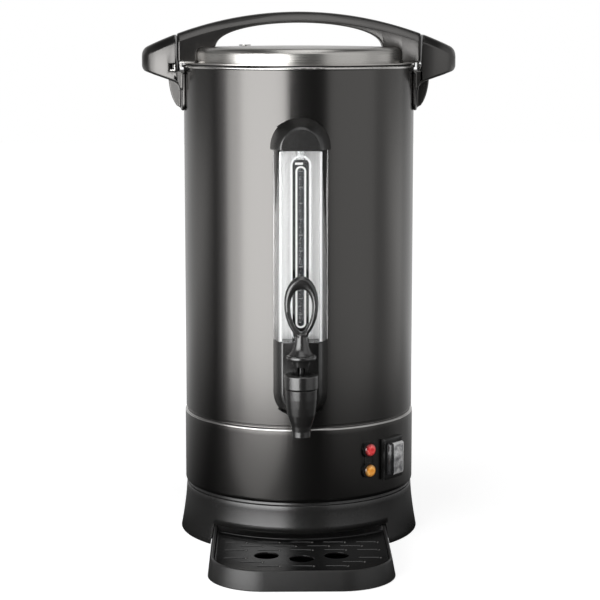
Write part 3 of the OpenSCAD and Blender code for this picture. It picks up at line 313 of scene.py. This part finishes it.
def moulded(node, edge, finish, body="root", slot="black_plastic", steps=3, clamp=False):
    """A copy of a CAD node with the small rounding that a mould leaves on its sharp edges."""
    squarely = 0.9999
    bm = bmesh.new()
    bm.from_mesh(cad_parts[node].data)
    bmesh.ops.remove_doubles(bm, verts=bm.verts, dist=weld)
    bmesh.ops.dissolve_limit(bm, angle_limit=radians(0.5), verts=bm.verts, edges=bm.edges)
    sharp = [rim for rim in bm.edges if rim.calc_face_angle(0) > radians(32)]
    bmesh.ops.bevel(
        bm,
        geom=sharp,
        offset=edge,
        segments=steps,
        profile=0.5,
        affect="EDGES",
        clamp_overlap=clamp,
        material=-1,
    )
    piece = keep(bm, node + "_moulding", finish, body, node, slot=slot, sharp=40)
    for face in piece.data.polygons:
        face.use_smooth = abs(face.normal.z) < squarely and abs(face.normal.y) < squarely
    return piece


charcoal = moulding("charcoal moulding", (0.010, 0.0098, 0.0095), (0.015, 0.0146, 0.0142), 0.23)
moulded("base_ring", 0.0008, charcoal)


# --- Bottom plate, feet and screws ---
# The bottom is a zinc-plated plate with vents. Four rubber feet are pushed into it, and four
# screws hold the base ring to the steel housing.

zinc = Finish("zinc plate", Metallic=1.0)
flakes = zinc.node("ShaderNodeTexVoronoi", None, {"Vector": zinc.place, "Scale": 260.0}, "Color")
zinc.set(
    Base_Color=zinc.tint(flakes, (0.50, 0.51, 0.52), (0.66, 0.66, 0.65)),
    Roughness=0.34 + 0.12 * zinc.noise(60),
)
rubber = Finish("foot rubber", Base_Color=(0.018, 0.018, 0.018, 1))
rubber.set(Roughness=0.7 + 0.15 * rubber.noise(90))
rubber.bump(rubber.noise(1500), 0.00004)
dress(zinc, "base_plate", "base_screws")
dress(rubber, "rubber_feet")


# --- Painted body ---
# The lower housing and the shell above it are rolled steel sheet in a satin black coat with a
# trace of metal in it. The housing stands proud of the shell, its top edge carries a painted
# highlight, and its lower edge is rolled inwards where it meets the base ring.

satin = Finish("satin black coat", Metallic=1.0)
haze = satin.noise(5, 4, (1, 1, 0.35))
peel = satin.noise(700, 2)
level = satin.along("Z")
# A narrow band round the housing's rounded top edge is painted pale as a painted highlight.
band_low, band_high = 0.1218, 0.1241
painted_highlight_band = (level > band_low) * (level < band_high)
coat = satin.tint(haze, (0.106, 0.103, 0.100), (0.124, 0.121, 0.117))
satin.set(
    Base_Color=satin.tint(painted_highlight_band, coat, (0.52, 0.51, 0.50)),
    Roughness=0.19 + 0.05 * haze + 0.02 * peel,
)
satin.bump(peel, 0.00003, 0.35)
dress(satin, "outer_shell")

bm = bmesh.new()
bm.from_mesh(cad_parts["control_housing"].data)
bmesh.ops.remove_doubles(bm, verts=bm.verts, dist=weld)
housing_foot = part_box("control_housing")[0].z
roll_height, roll_depth, wall_inside = 0.0036, 0.0026, 0.112
for share in (18.6, 1.2, 1.0, 0.7, 0.45, 0.25, 0.1):
    everything = bm.verts[:] + bm.edges[:] + bm.faces[:]
    cut = (0, 0, housing_foot + roll_height * share)
    bmesh.ops.bisect_plane(bm, geom=everything, dist=1e-7, plane_co=cut, plane_no=(0, 0, 1))
for vert in bm.verts:
    radius, drop = vert.co.xy.length, 1 - (vert.co.z - housing_foot) / roll_height
    if drop > 0 and radius > wall_inside:
        vert.co.xy *= 1 - roll_depth * (1 - sqrt(max(0, 1 - drop**2))) / radius
keep(bm, "rolled_housing", satin, "root", "control_housing", slot="black_paint")


# --- Lamps ---
# Two neon lamps in black bezels: red while the coffee is made and amber while it is kept warm.
# The lenses are tinted acrylic, brighter in the middle where the lamp sits; besides the glow,
# their colour is painted paler there as painted light and darker at the rim as painted shade.

lamp_azimuth = radians(35.5)
lens_middle, lens_rim = 0.0036, 0.0064


def lens(name, height, colour, pale, glow):
    """Faceted tinted acrylic; the paler middle is painted light and the dark rim painted shade."""
    made = Finish(name, Coat_Weight=0.5, Coat_Roughness=0.06, Emission_Strength=0.4)
    turn = {"Vector": made.place, "Rotation": (0, 0, -lamp_azimuth), "Location": (0, 0, -height)}
    local = made.node("ShaderNodeMapping", None, turn)
    flat = made.node("ShaderNodeVectorMath", {"operation": "MULTIPLY"}, {0: local, 1: (1, 0, 1)})
    out = made.node("ShaderNodeVectorMath", {"operation": "LENGTH"}, {0: flat}, "Value")
    facets = made.node("ShaderNodeTexVoronoi", None, {"Vector": local, "Scale": 420.0}, "Color")
    facet = made.node("ShaderNodeSeparateXYZ", None, {0: facets})
    reach = {"Value": out, "From Min": lens_middle, "From Max": lens_rim}
    span = {**reach, "To Min": 1.0, "To Max": 0.0}
    middle = made.node("ShaderNodeMapRange", None, span)
    # Painted shade darkens the rim, and painted light makes the middle paler.
    shaded_rim_colour = [0.10 * part for part in colour]
    made.set(
        Base_Color=made.tint(middle, shaded_rim_colour, made.tint(facet * facet, colour, pale)),
        Emission_Color=made.tint(middle, (0, 0, 0), glow),
        Roughness=0.12 + 0.10 * facet,
    )
    made.bump(facet, 0.0002, 0.6)
    return made


bezel = Finish("gloss black", Base_Color=(0.012, 0.012, 0.012, 1))
bezel.set(Roughness=0.16 + 0.10 * bezel.noise(120))
red = lens("red lens", 0.0985, (0.48, 0.02, 0.03), (0.95, 0.30, 0.28), (0.8, 0.05, 0.05))
amber = lens("amber lens", 0.0777, (0.62, 0.22, 0.02), (1.0, 0.72, 0.28), (0.8, 0.33, 0.05))
dress(red, "boil_lamp")
dress(amber, "warm_lamp")
dress(bezel, "lamp_bezels")


# --- Switch ---
# A rocker switch in a gloss black frame, under a clear silicone boot that keeps steam out. The
# frame fits a cut-out in the housing, and the brass tabs behind it take the wires.

boot_silicone = Finish(
    "clear silicone", Transmission_Weight=0.25, IOR=1.41, Coat_Weight=0.5, Coat_Roughness=0.1
)
# The boot's colour holds painted light: painted highlights along its right edge, top and bottom and
# as bright mottled glints over its front, and painted shade down its left side and over its sides
# behind the front face. The same mottle also sets its roughness and bump.
scuffs_and_glints = boot_silicone.noise(150, 5)
switch_azimuth, switch_height = radians(51), 0.086
boot_frame = {
    "Vector": boot_silicone.place,
    "Rotation": (0, 0, -switch_azimuth),
    "Location": (0, 0, -switch_height),
}
boot_place = boot_silicone.node("ShaderNodeMapping", None, boot_frame)
sideways, inwards, upwards = [
    boot_silicone.node("ShaderNodeSeparateXYZ", None, {0: boot_place}, axis) for axis in "XYZ"
]
highlight_side, highlight_end, shade_side, boot_front = 0.0086, 0.0140, -0.0068, -0.1226
rim = (sideways > highlight_side) + (inwards.math("ABSOLUTE", upwards) > highlight_end)
front = boot_silicone.tint(scuffs_and_glints * scuffs_and_glints * scuffs_and_glints * 5.5, (0.10, 0.10, 0.12), (1, 1, 1))
front = boot_silicone.tint(rim, front, (1, 1, 1))
front = boot_silicone.tint(sideways > shade_side, (0.02, 0.02, 0.022), front)
boot_silicone.set(
    Base_Color=boot_silicone.tint(inwards > boot_front, front, (0.035, 0.035, 0.037)),
    Roughness=0.12 + 0.25 * scuffs_and_glints,
)
boot_silicone.bump(scuffs_and_glints, 0.0004, 0.5)
brass = Finish("brass tabs", Base_Color=(0.72, 0.52, 0.22, 1), Metallic=1.0)
brass.set(Roughness=0.28 + 0.15 * brass.noise(400))
dress(bezel, "switch_rocker")
moulded("switch_frame", 0.0007, bezel, slot="switch_black", clamp=True)
boot_low, boot_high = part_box("switch_boot")
boot_back, boot_size, boot_bevel, boot_wall = 0.1183, (0.0224, 0.0324, 0.0065), 0.0022, 0.0006
bm = bmesh.new()
boot = bmesh.ops.create_cube(bm, size=1)["verts"]
bmesh.ops.scale(bm, vec=boot_size, verts=boot)
bottom = min(bm.faces, key=lambda face: face.calc_center_median().z)
bmesh.ops.delete(bm, geom=[bottom], context="FACES_ONLY")
rims = [rim for rim in bm.edges if not rim.is_boundary]
bmesh.ops.bevel(
    bm, geom=rims, offset=boot_bevel, segments=2, profile=0.5, affect="EDGES", material=-1
)
bmesh.ops.solidify(bm, geom=bm.faces[:], thickness=boot_wall)
bmesh.ops.rotate(bm, cent=(0, 0, 0), matrix=Matrix.Rotation(pi / 2, 3, "X"), verts=bm.verts)
boot_middle = (0, -boot_back - boot_size[2] / 2, (boot_low.z + boot_high.z) / 2)
bmesh.ops.translate(bm, vec=boot_middle, verts=bm.verts)
bmesh.ops.rotate(bm, cent=(0, 0, 0), matrix=Matrix.Rotation(switch_azimuth, 3, "Z"), verts=bm.verts)
keep(bm, "switch_hood", boot_silicone, "root", "switch_boot", slot="clear_silicone")
dress(brass, "switch_terminals")


# --- Tank and heaters ---
# The tank is spun stainless steel with a rolled rim that closes over the painted shell. Under
# its floor are the heating ring, the band round the well, the thermostat and the cut-out.

steel = Finish("spun stainless", Metallic=1.0)
spin_marks = steel.noise(90, 3, (0.2, 0.2, 30))
steel.set(
    Base_Color=steel.tint(spin_marks, (0.62, 0.61, 0.59), (0.78, 0.77, 0.75)),
    Roughness=0.16 + 0.14 * spin_marks,
)
sheath = Finish("heater sheath", Metallic=1.0)
sheath.set(Base_Color=sheath.tint(sheath.noise(50, 4), (0.22, 0.19, 0.16), (0.36, 0.34, 0.31)))
sheath.set(Roughness=0.45 + 0.15 * sheath.noise(300))
alloy = Finish("pressed aluminium", Metallic=1.0)
alloy.set(Base_Color=alloy.tint(alloy.noise(40, 3), (0.66, 0.66, 0.67), (0.78, 0.78, 0.79)))
alloy.set(Roughness=0.34 + 0.12 * alloy.noise(500))
ceramic = Finish("white ceramic", Base_Color=(0.72, 0.69, 0.62, 1))
ceramic.set(Roughness=0.5 + 0.2 * ceramic.noise(200))
dress(steel, "tank", "lock_tabs")
dress(sheath, "main_heater", "well_heater")
dress(alloy, "heater_plate", "thermal_cutout")
dress(ceramic, "thermostat", "terminal_block")
dress(charcoal, "cord_gland")


# --- Side handles ---
# Two like gunmetal mouldings, screwed to the shell from inside. Each carries on the
# arch of the lid's handle and has a small steel tab that the lid locks against.

gunmetal = Finish("gunmetal moulding", Metallic=1.0)
gunmetal_cloud = gunmetal.noise(16, 3)
gunmetal_grain = gunmetal.noise(1800, 2)
gunmetal.set(
    Base_Color=gunmetal.tint(gunmetal_cloud, (0.105, 0.102, 0.100), (0.135, 0.132, 0.128)),
    Roughness=0.24 + 0.08 * gunmetal_cloud + 0.03 * gunmetal_grain,
)
gunmetal.bump(gunmetal_grain, 0.00003, 0.4)
handle_edge = 0.0012
for handle in ("side_handle_left", "side_handle_right"):
    moulded(handle, handle_edge, gunmetal)
dress(zinc, "handle_screws")


# --- Gauge ---
# A glass sight tube shows through the slot of a black printed plate, under a clear cover that
# stands between a moulded cap and the tap's housing. The sheet behind the tube is silvered.

backing = Finish("silvered backing")
streaks = backing.noise(420, 2, (1, 0.2, 0.004))
across = backing.along("X")
from_middle = across.math("ABSOLUTE", across)
plate_half, plate_top, pane_half = 0.0079, 0.384, 0.0196
shaded = (from_middle < plate_half) * (backing.along("Z") < plate_top)
# The sheet is painted darker to the left and paler to the right as painted light falling across it,
# and it is darker again beyond the pane's sides.
span = {"Value": across, "From Min": -0.014, "From Max": 0.010, "To Min": 0.0, "To Max": 1.0}
paler = backing.node("ShaderNodeMapRange", None, span)
panel = backing.tint(paler, (0.80, 0.795, 0.785), (0.98, 0.975, 0.96))
panel = backing.tint(streaks * streaks * 1.1, panel, (0.36, 0.355, 0.35))
panel = backing.tint(from_middle > pane_half, panel, (0.30, 0.295, 0.29))
backing.set(
    Base_Color=backing.tint(shaded, panel, (0.012, 0.012, 0.013)),
    Metallic=0.12 - 0.12 * shaded,
    Roughness=0.32 + 0.12 * streaks,
)
cover_plastic = Finish(
    "clear cover", Base_Color=(0.98, 0.985, 0.99, 1), Transmission_Weight=1.0, IOR=1.49
)
cover_plastic.set(Roughness=0.01 + 0.03 * cover_plastic.noise(40, 4, (1, 1, 0.1)))
glass = Finish("glass tube", Transmission_Weight=1.0, IOR=1.47)
glass.set(
    Base_Color=glass.tint(glass.along("Z") < plate_top, (0.97, 0.98, 0.98), (0.50, 0.51, 0.54)),
    Roughness=0.01 + 0.03 * glass.noise(60),
)
ink = Finish("black scale", Base_Color=(0.008, 0.008, 0.009, 1))
ink.set(Roughness=0.10 + 0.06 * ink.noise(150))
white_ink = Finish("white ink")
white_cloud = white_ink.noise(300)
white_ink.set(Base_Color=white_ink.tint(white_cloud, (0.80, 0.80, 0.78), (0.92, 0.92, 0.90)))
white_ink.set(Roughness=0.42 + 0.1 * white_ink.noise(500))
silicone = Finish("pale silicone", Base_Color=(0.75, 0.73, 0.66, 1), Subsurface_Weight=0.1)
silicone.set(Roughness=0.5 + 0.15 * silicone.noise(300))
moulded("gauge_cap", 0.0010, charcoal)
moulded("gauge_base", 0.0010, charcoal)
dress(backing, "gauge_back")
moulded("gauge_cover", 0.0009, cover_plastic, slot="clear_plastic", clamp=True)
dress(glass, "sight_tube")
dress(silicone, "sight_tube_seals", "shank_washers", "tap_seat")
dress(zinc, "gauge_screws")

upright = Matrix.Rotation(pi / 2, 3, "X")
scale_low, scale_high = 0.2311, 0.3746
scale_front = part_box("level_scale")[0][1]


def long_ring(bm, outer, inner, low, high, crown, front, thick):
    """A flat ring with round ends, stood up to face the front; crown flattens its outer top."""
    made = []
    for radius, flat in ((outer, crown), (inner, 1)):
        loop = bmesh.ops.create_circle(bm, segments=48, radius=radius)["verts"]
        for vert in loop:
            vert.co.y = high + vert.co.y * flat if vert.co.y > weld else low + vert.co.y
        made += loop
    faces = bmesh.ops.bridge_loops(bm, edges=bm.edges[:])["faces"]
    bmesh.ops.recalc_face_normals(bm, faces=faces)
    if faces[0].normal.z < 0:
        bmesh.ops.reverse_faces(bm, faces=faces)
    bmesh.ops.rotate(bm, cent=(0, 0, 0), matrix=upright, verts=made)
    bmesh.ops.translate(bm, vec=(0, front, 0), verts=made)
    bmesh.ops.solidify(bm, geom=faces, thickness=thick)


# The plate runs on above and below the rounded slot by the crown's and the foot's height.
plate_crown, plate_foot = 0.0063, 0.0105
bm = bmesh.new()
long_ring(
    bm,
    outer=0.0076,
    inner=0.0032,
    low=scale_low,
    high=scale_high + plate_crown,
    crown=0.65,
    front=scale_front,
    thick=0.0008,
)
for vert in bm.verts:
    beside_slot = vert.co.z < scale_low + 0.0033 and abs(vert.co.x) > 0.0034
    if beside_slot or vert.co.z < scale_low - 0.0036:
        vert.co.z -= plate_foot
    if abs(vert.co.x) < 0.0033 and scale_high < vert.co.z < scale_high + 0.0098:
        vert.co.z -= plate_crown
keep(bm, "scale_plate", ink, "root", "level_scale", slot="scale_black")

# The moulded edge of the cover's channel frames the plate with a painted highlight, a ring in
# white, and slim white strips at the cover's two front corners are painted highlights too.
edge_highlight = Finish("painted cover edge highlight", IOR=1.49, Coat_Weight=0.6, Coat_Roughness=0.08)
highlight_marks = edge_highlight.noise(90, 3, (1, 1, 0.2))
edge_highlight.set(
    Base_Color=edge_highlight.tint(highlight_marks, (0.90, 0.90, 0.89), (1, 1, 1)),
    Roughness=0.2 + 0.1 * highlight_marks,
)
bm = bmesh.new()
long_ring(
    bm,
    outer=0.0098,
    inner=0.0079,
    low=scale_low - 0.0075,
    high=scale_high + 0.0055,
    crown=0.98,
    front=scale_front + 0.0004,
    thick=0.0006,
)
keep(bm, "channel_edge_highlight", edge_highlight, "root", slot="clear_plastic")
cover_low, cover_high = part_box("gauge_cover")
cover_middle, strip_size = (cover_low.z + cover_high.z) / 2, (0.0022, 0.0012)
corner_x, corner_y, corner_turn, strip_bevel = 0.0187, -0.1333, 0.62, 0.0004
bm = bmesh.new()
for side in (-1, 1):
    strip = bmesh.ops.create_cube(bm, size=1)["verts"]
    bmesh.ops.scale(bm, vec=(*strip_size, cover_high.z - cover_low.z - 0.001), verts=strip)
    turn = Matrix.Rotation(side * corner_turn, 3, "Z")
    bmesh.ops.rotate(bm, cent=(0, 0, 0), matrix=turn, verts=strip)
    bmesh.ops.translate(bm, vec=(side * corner_x, corner_y, cover_middle), verts=strip)
bmesh.ops.bevel(
    bm, geom=bm.edges[:], offset=strip_bevel, segments=2, profile=0.5, affect="EDGES", material=-1
)
keep(bm, "cover_edge_highlights", edge_highlight, "root", slot="clear_plastic")

# A white line is printed round the slot, with a plain bar above it.
print_t = 0.00015
bar_size, bar_place = (0.0074, print_t, 0.0022), (-0.0017, scale_front - 0.00008, 0.3819)
bm = bmesh.new()
long_ring(
    bm,
    outer=0.0051,
    inner=0.0033,
    low=scale_low,
    high=scale_high,
    crown=1,
    front=scale_front - print_t,
    thick=print_t,
)
bar = bmesh.ops.create_cube(bm, size=1)["verts"]
bmesh.ops.scale(bm, vec=bar_size, verts=bar)
bmesh.ops.translate(bm, vec=bar_place, verts=bar)
keep(bm, "scale_print", white_ink, "root", slot="scale_black")

# Half litre marks, printed round the front of the tube; each whole litre has a longer one.
grey_ink = Finish("grey ink")
grey_ink.set(Base_Color=grey_ink.tint(grey_ink.noise(300), (0.16, 0.16, 0.16), (0.36, 0.36, 0.36)))
grey_ink.set(Roughness=0.42 + 0.1 * grey_ink.noise(500))
bm = bmesh.new()
tube_low, tube_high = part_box("sight_tube")
tube_middle = (tube_low.y + tube_high.y) / 2
mark_count, mark_pitch, mark_left, print_r = 20, 0.00755, 0.0022, 0.00456
for step in range(mark_count):
    mark = bmesh.ops.create_grid(bm, x_segments=6, y_segments=1, size=0.5)["verts"]
    wide = 0.0040 if step % 2 else 0.0022
    mark_place = (wide / 2 - mark_left, tube_middle, scale_low + step * mark_pitch)
    bmesh.ops.scale(bm, vec=(wide, 0.0008, 1), verts=mark)
    bmesh.ops.rotate(bm, cent=(0, 0, 0), matrix=upright, verts=mark)
    bmesh.ops.translate(bm, vec=mark_place, verts=mark)
for vert in bm.verts:
    vert.co.y -= sqrt(print_r**2 - vert.co.x**2)
bmesh.ops.solidify(bm, geom=bm.faces[:], thickness=0.00005)
keep(bm, "level_marks", grey_ink, "root", slot="scale_black")


# --- Tap ---
# A moulded tap body is screwed on a steel shank. Tipping the looped lever lifts the stem and its
# silicone seat against a spring.

tap_plastic = moulding("tap moulding", (0.012, 0.0118, 0.0115), (0.018, 0.0176, 0.0172), 0.19)
tap_plastic.set(Coat_Weight=0.3 + 0.2 * tap_plastic.noise(30), Coat_Roughness=0.24)
dress(tap_plastic, "tap_body", "tap_bonnet")
moulded("tap_lever", 0.0008, tap_plastic, "lever")
dress(steel, "tap_shank", "shank_nut", "lever_pin")
dress(bezel, "tap_stem")

# The spring's top end stays under the bonnet, and the spring gets a mesh of its own; on the
# real tap its coils close up as the stem rises.
bm = bmesh.new()
bm.from_mesh(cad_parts["tap_spring"].data)
bmesh.ops.remove_doubles(bm, verts=bm.verts, dist=weld)
valve_spring = keep(bm, "valve_spring", steel, "root", "tap_spring", slot="spring_steel")
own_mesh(valve_spring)


# --- Lid ---
# A pressed lid in polished stainless steel carries an arched handle, a vent cap and four lugs,
# and seals on the tank's rim with a thin gasket.

polish = Finish("polished stainless", Metallic=1.0)
ring_marks = polish.noise(40, 2, (0.4, 0.4, 60))
polish.set(
    Base_Color=polish.tint(ring_marks, (0.57, 0.555, 0.53), (0.63, 0.615, 0.59)),
    Roughness=0.25 + 0.06 * ring_marks,
)
seal = Finish("black silicone", Base_Color=(0.02, 0.02, 0.02, 1))
seal.set(Roughness=0.6 + 0.1 * seal.noise(200))
dress(polish, "lid_shell", "lid_vent", "lid_lugs")
moulded("lid_handle", handle_edge, gunmetal, "lid")
dress(zinc, "lid_handle_screws")
dress(seal, "lid_gasket")


# --- Drip tray ---
# The tray is one moulding in black plastic that slides into the base ring. The gloss black
# grate over it has staggered slots and three drain holes, and lifts off for washing.

tray_plastic = moulding("tray moulding", (0.012, 0.0118, 0.0115), (0.018, 0.0176, 0.0172), 0.34)
tray_plastic.set(Specular_IOR_Level=0.55)
moulded("drip_tray", 0.0010, tray_plastic, "tray")
gloss = Finish("gloss black grate", Specular_IOR_Level=0.35)
gloss_cloud = gloss.noise(40, 3)
gloss.set(
    Base_Color=gloss.tint(gloss_cloud, (0.004, 0.004, 0.004), (0.008, 0.008, 0.008)),
    Roughness=0.10 + 0.12 * gloss_cloud,
)
moulded("drip_grate", 0.0004, gloss, "grate", steps=2)

# Each slot has a raised lip along its far edge and a small pip at its end, which keep a wet cup
# from sliding.
rows, row_pitch, first_row, last_row = 7, 0.0135, 0.1333, 0.231
slot_pitch, slot_half, pip_x = 0.0316, 0.010, 0.0112
drain_r, drain_margin, drain_places = 0.0115, 0.0015, ((0, 0.189), (-0.033, 0.178), (0.033, 0.178))
corner_from_x, corner_from_y, corner_reach = 0.0345, 0.191, 0.045
grate_top, sunk = 0.0158, 0.0002
detail_z = grate_top - sunk
bm, lips = bmesh.new(), bmesh.new()
for row in range(rows):
    for place in range(-3, 4):
        x, y = (place + row % 2 / 2) * slot_pitch, first_row + row * row_pitch
        clear = min(
            max(abs(x - drain_x) - slot_half, abs(y - drain_y)) - drain_r
            for drain_x, drain_y in drain_places
        )
        corner = sqrt(
            max(0, abs(x) + slot_half - corner_from_x) ** 2 + max(0, y - corner_from_y) ** 2
        )
        if clear > drain_margin and corner < corner_reach and y < last_row:
            pip = bmesh.ops.create_icosphere(bm, subdivisions=2, radius=0.0011)["verts"]
            bmesh.ops.translate(bm, vec=(x + pip_x, -y, detail_z), verts=pip)
            lip = bmesh.ops.create_cube(lips, size=1)["verts"]
            bmesh.ops.scale(lips, vec=(0.0196, 0.0009, 0.0012), verts=lip)
            bmesh.ops.translate(lips, vec=(x, 0.0014 - y, detail_z), verts=lip)
bmesh.ops.bevel(
    lips, geom=lips.edges[:], offset=0.0003, segments=1, profile=0.5, affect="EDGES", material=-1
)
keep(bm, "grate_pips", gunmetal, "grate", slot="gloss_black")
keep(lips, "grate_lips", charcoal, "grate", slot="gloss_black")


# --- Percolator ---
# The pump tube stands in the heating well and lifts water to the spreader over the basket. The
# tube is stainless steel, and the basket and the spreader are pressed and pierced aluminium.

dress(steel, "pump_tube")
dress(alloy, "filter_basket", "basket_cover")
